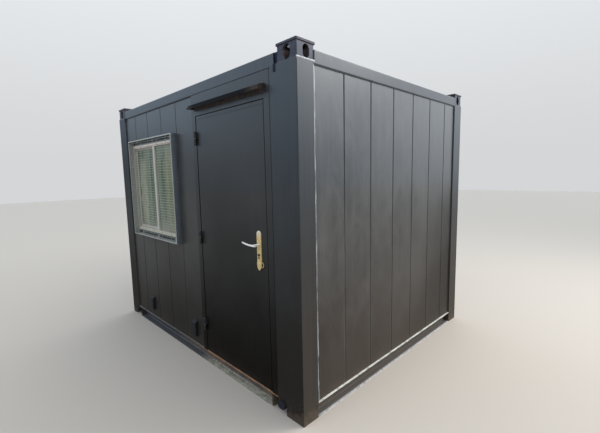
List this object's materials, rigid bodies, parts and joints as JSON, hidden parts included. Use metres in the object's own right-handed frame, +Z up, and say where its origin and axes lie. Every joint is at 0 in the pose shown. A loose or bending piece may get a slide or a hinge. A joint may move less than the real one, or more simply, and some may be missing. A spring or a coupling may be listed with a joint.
{
  "type": "portable_site_cabin",
  "caption": "Portable steel site cabin with a framed door, a guarded sliding window and lifting blocks at the roof corners",
  "frame": {"origin": "under the middle of the whole outline, on the ground", "axes": "+Z up; the door wall faces -Y; +X runs along the door wall towards the door's lock side"},
  "size_m": [2.991, 2.493, 2.438],
  "materials": {
    "frame_steel": "satin dark grey coating, dusty and scuffed",
    "block_steel": "worn dark coating with rust at the cap edges",
    "panel_steel": "satin dark grey panels with pressed grooves",
    "door_steel": "satin dark grey",
    "hood_steel": "near black",
    "hinge_steel": "black",
    "guard_steel": "dull galvanised",
    "window_plastic": "cream",
    "window_glass": "clear",
    "lock_brass": "worn satin brass",
    "lever_metal": "worn satin",
    "board": "plain board",
    "ceiling": "white faced board"
  },
  "bodies": {
    "cabin": {"base_rail_front": "frame_steel", "base_rail_left": "frame_steel", "base_rail_rear": "frame_steel", "base_rail_right": "frame_steel", "ceiling_boards": "ceiling", "corner_post_front_left": "frame_steel", "corner_post_front_right": "frame_steel", "corner_post_rear_left": "frame_steel", "corner_post_rear_right": "frame_steel", "door_head": "door_steel", "door_jamb_hinge_side": "door_steel", "door_jamb_latch_side": "door_steel", "door_threshold": "door_steel", "floor_deck": "board", "floor_joists": "frame_steel", "front_wall_left": "panel_steel", "front_wall_over_window": "panel_steel", "front_wall_right": "panel_steel", "front_wall_under_window": "panel_steel", "hinge_lower_halves": "hinge_steel", "lashing_lugs": "block_steel", "left_wall": "panel_steel", "lifting_block_front_left": "block_steel", "lifting_block_front_right": "block_steel", "lifting_block_rear_left": "block_steel", "lifting_block_rear_right": "block_steel", "low_vents": "hood_steel", "rain_hood": "hood_steel", "rear_wall": "panel_steel", "right_wall": "panel_steel", "roof_bearers": "frame_steel", "roof_sheet": "panel_steel", "sliding_sash": "window_plastic", "top_rail_front": "frame_steel", "top_rail_left": "frame_steel", "top_rail_rear": "frame_steel", "top_rail_right": "frame_steel", "window_frame": "window_plastic", "window_glass": "window_glass", "window_guard": "guard_steel"},
    "door": {"door_leaf": "door_steel", "hinge_upper_halves": "hinge_steel", "outer_backplate": "lock_brass", "inner_backplate": "lock_brass", "lock_cylinder": "lock_brass", "cylinder_cover": "lock_brass"},
    "lever": {"lever_handle": "lever_metal"}
  },
  "joints": [
    {"name": "door_hinge", "type": "hinge", "parent": "cabin", "child": "door", "pos_m": [0.2955, -1.2055, 1.13], "axis": [0, 0, -1], "range_deg": [0, 110]},
    {"name": "lever_turn", "type": "hinge", "parent": "door", "child": "lever", "pos_m": [1.0895, -1.1895, 1.166], "axis": [0, -1, 0], "range_deg": [0, 40], "stiffness_Nm_per_rad": 1.2, "springref_deg": -34.38}
  ]
}
